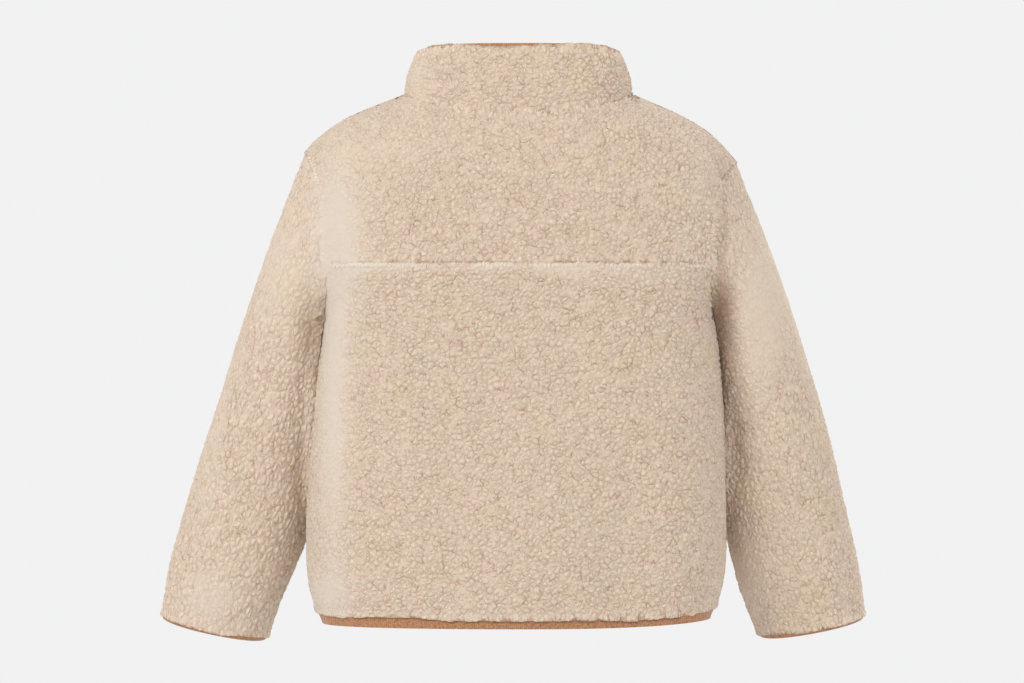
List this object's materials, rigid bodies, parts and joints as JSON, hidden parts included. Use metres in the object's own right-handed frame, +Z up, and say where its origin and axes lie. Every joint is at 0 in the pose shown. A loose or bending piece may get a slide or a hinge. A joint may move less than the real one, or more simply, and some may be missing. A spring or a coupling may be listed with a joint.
{
  "type": "sherpa jacket",
  "caption": "Child's cream sherpa fleece jacket with stand collar, straight back yoke, set-in long sleeves, tan knit bindings and a full-length front zip, filled out as if worn",
  "frame": {"origin": "middle of the neck's base, on the plane between the back and the fronts", "axes": "+X to the wearer's right, along the spread of the sleeves; +Y out of the front; +Z up"},
  "size_m": [0.5745, 0.1686, 0.478],
  "materials": {
    "sherpa_fleece": "curly pile",
    "tan_binding": "fine rib knit",
    "zip_tape": "woven tape",
    "zip_metal": "satin"
  },
  "bodies": {
    "jacket": {"back_lower": "sherpa_fleece", "back_yoke": "sherpa_fleece", "front_left": "sherpa_fleece", "front_right": "sherpa_fleece", "collar": "sherpa_fleece", "sleeve_left": "sherpa_fleece", "sleeve_right": "sherpa_fleece", "hem_binding": "tan_binding", "collar_binding": "tan_binding", "cuff_binding_left": "tan_binding", "cuff_binding_right": "tan_binding", "zip_tape_left": "zip_tape", "zip_tape_right": "zip_tape", "zip_slider": "zip_metal", "zip_stop_left": "zip_metal", "zip_stop_right": "zip_metal", "zip_box": "zip_metal"},
    "zip_pull": {"pull_tab": "zip_metal"}
  },
  "joints": [
    {"name": "pull_tab_hinge", "type": "hinge", "parent": "jacket", "child": "zip_pull", "pos_m": [0, 0.04999, 0.001], "axis": [1, 0, 0], "range_deg": [0, 160]}
  ]
}
